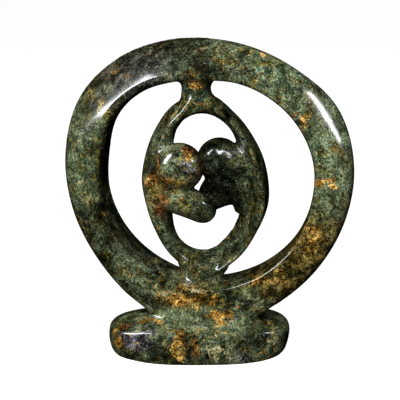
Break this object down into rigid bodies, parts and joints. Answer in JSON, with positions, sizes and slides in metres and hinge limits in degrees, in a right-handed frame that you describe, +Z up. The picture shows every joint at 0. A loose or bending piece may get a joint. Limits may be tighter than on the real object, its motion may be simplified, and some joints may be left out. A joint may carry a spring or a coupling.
{
  "type": "couple statue",
  "caption": "Polished dark green stone carving of a couple leaning together, head to head, inside an upright ring on a low pillow-shaped base.",
  "frame": {"origin": "middle of the base's flat underside, where it rests", "axes": "+Z up, the ring lies in the XZ plane with the figures' front towards -Y, +X to the right seen from the front; the base is turned 10 degrees about +Z against the ring"},
  "size_m": [0.2734, 0.11, 0.3],
  "materials": {
    "polished_serpentine": "high polish, mottled dark green with ochre and cream patches"
  },
  "bodies": {
    "root": {"couple_statue": "polished_serpentine"}
  },
  "joints": []
}
